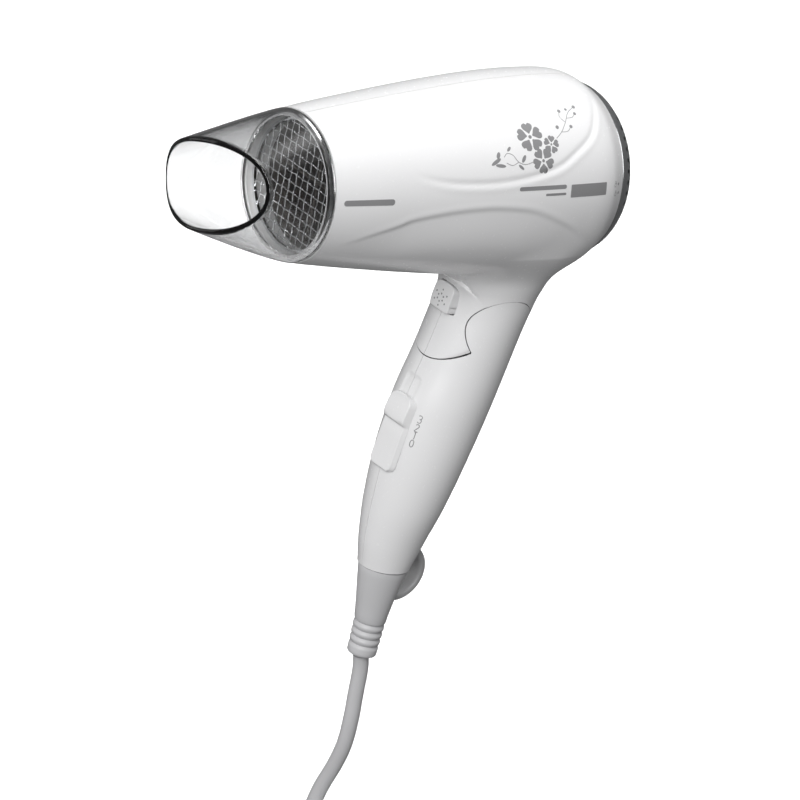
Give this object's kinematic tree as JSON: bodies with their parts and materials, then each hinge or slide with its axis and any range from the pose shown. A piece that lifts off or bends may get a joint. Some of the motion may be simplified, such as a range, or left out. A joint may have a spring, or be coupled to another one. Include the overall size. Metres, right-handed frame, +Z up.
{
  "type": "hair dryer",
  "caption": "Folding hand hair dryer with clear swivelling concentrator nozzle, outlet mesh, cool-shot button, slide switch, hang loop and corded plug.",
  "frame": {"origin": "middle of the grip, on the handle's centreline", "axes": "+X towards the rear air intake, -X towards the nozzle, +Y across, +Z up along the opened handle"},
  "size_m": [0.1955, 0.0822, 0.4791],
  "materials": {
    "body_white": "glossy white ABS",
    "inner_white": "satin white",
    "steel": "bright steel",
    "mica": "mica sheet",
    "black_plastic": "satin black",
    "grey_plastic": "satin grey",
    "cord_grey": "satin grey PVC",
    "loop_grey": "satin grey",
    "filter_grey": "fine mesh",
    "cover_silver": "metallised silver grey",
    "clear_plastic": "clear smoke-grey polycarbonate",
    "circuit_board": "green solder mask",
    "capacitor_yellow": "yellow film capacitor",
    "lead_black": "PVC insulation",
    "lead_blue": "PVC insulation",
    "brass": "bright brass",
    "heating_wire": "nickel-chrome wire"
  },
  "bodies": {
    "handle": {"handle_left": "body_white", "handle_right": "body_white", "hinge_pin": "steel", "switch_body": "black_plastic", "switch_board": "circuit_board", "suppression_capacitor": "capacitor_yellow", "handle_screw_1": "steel", "cord_clamp": "grey_plastic", "strain_relief": "cord_grey", "hang_loop": "loop_grey", "handle_lead_1": "lead_black", "handle_lead_2": "lead_blue", "handle_lead_3": "lead_black", "cord": "cord_grey", "cord_hank": "cord_grey", "cord_tail": "cord_grey", "cord_tie": "black_plastic", "plug_body": "cord_grey", "plug_pin_1": "brass", "plug_pin_2": "brass"},
    "barrel": {"housing_left": "body_white", "housing_right": "body_white", "hinge_drum": "inner_white", "outlet_ring": "inner_white", "outlet_mesh": "steel", "heat_sleeve": "mica", "heater_former": "mica", "heater_coil_1": "heating_wire", "heater_coil_2": "heating_wire", "heater_coil_3": "heating_wire", "heater_coil_4": "heating_wire", "heater_coil_5": "heating_wire", "thermostat": "black_plastic", "thermal_fuse": "steel", "motor_mount": "grey_plastic", "motor": "steel", "motor_end_bell": "black_plastic", "bayonet_ring": "inner_white", "finger_guard": "black_plastic", "cool_button_spring": "steel", "cool_microswitch": "black_plastic", "neck_screw": "steel", "motor_lead": "lead_black"},
    "nozzle": {"concentrator_nozzle": "clear_plastic"},
    "rotor": {"fan": "grey_plastic", "motor_shaft": "steel"},
    "intake_cover": {"rear_cover": "cover_silver", "lint_filter": "filter_grey"},
    "cool_button": {"cool_button": "body_white"},
    "speed_switch": {"speed_knob": "body_white", "switch_slider": "black_plastic"}
  },
  "joints": [
    {"name": "handle_fold", "type": "hinge", "parent": "handle", "child": "barrel", "pos_m": [0.013, 0, 0.0572], "axis": [0, -1, 0], "range_deg": [0, 75]},
    {"name": "nozzle_turn", "type": "hinge", "parent": "barrel", "child": "nozzle", "pos_m": [-0.097, 0, 0.121], "axis": [1, 0, 0], "continuous": true},
    {"name": "intake_cover_twist", "type": "hinge", "parent": "barrel", "child": "intake_cover", "pos_m": [0.0425, 0, 0.121], "axis": [1, 0, 0], "range_deg": [0, 15]},
    {"name": "fan_spin", "type": "hinge", "parent": "barrel", "child": "rotor", "pos_m": [0.022, 0, 0.121], "axis": [1, 0, 0], "continuous": true},
    {"name": "cool_button_press", "type": "slide", "parent": "barrel", "child": "cool_button", "axis": [0.9903, 0, -0.1392], "range_m": [0, 0.0025], "stiffness_N_per_m": 400, "springref_m": -0.001},
    {"name": "speed_slide", "type": "slide", "parent": "handle", "child": "speed_switch", "axis": [0.153, 0, 0.9882], "range_m": [0, 0.01]}
  ]
}
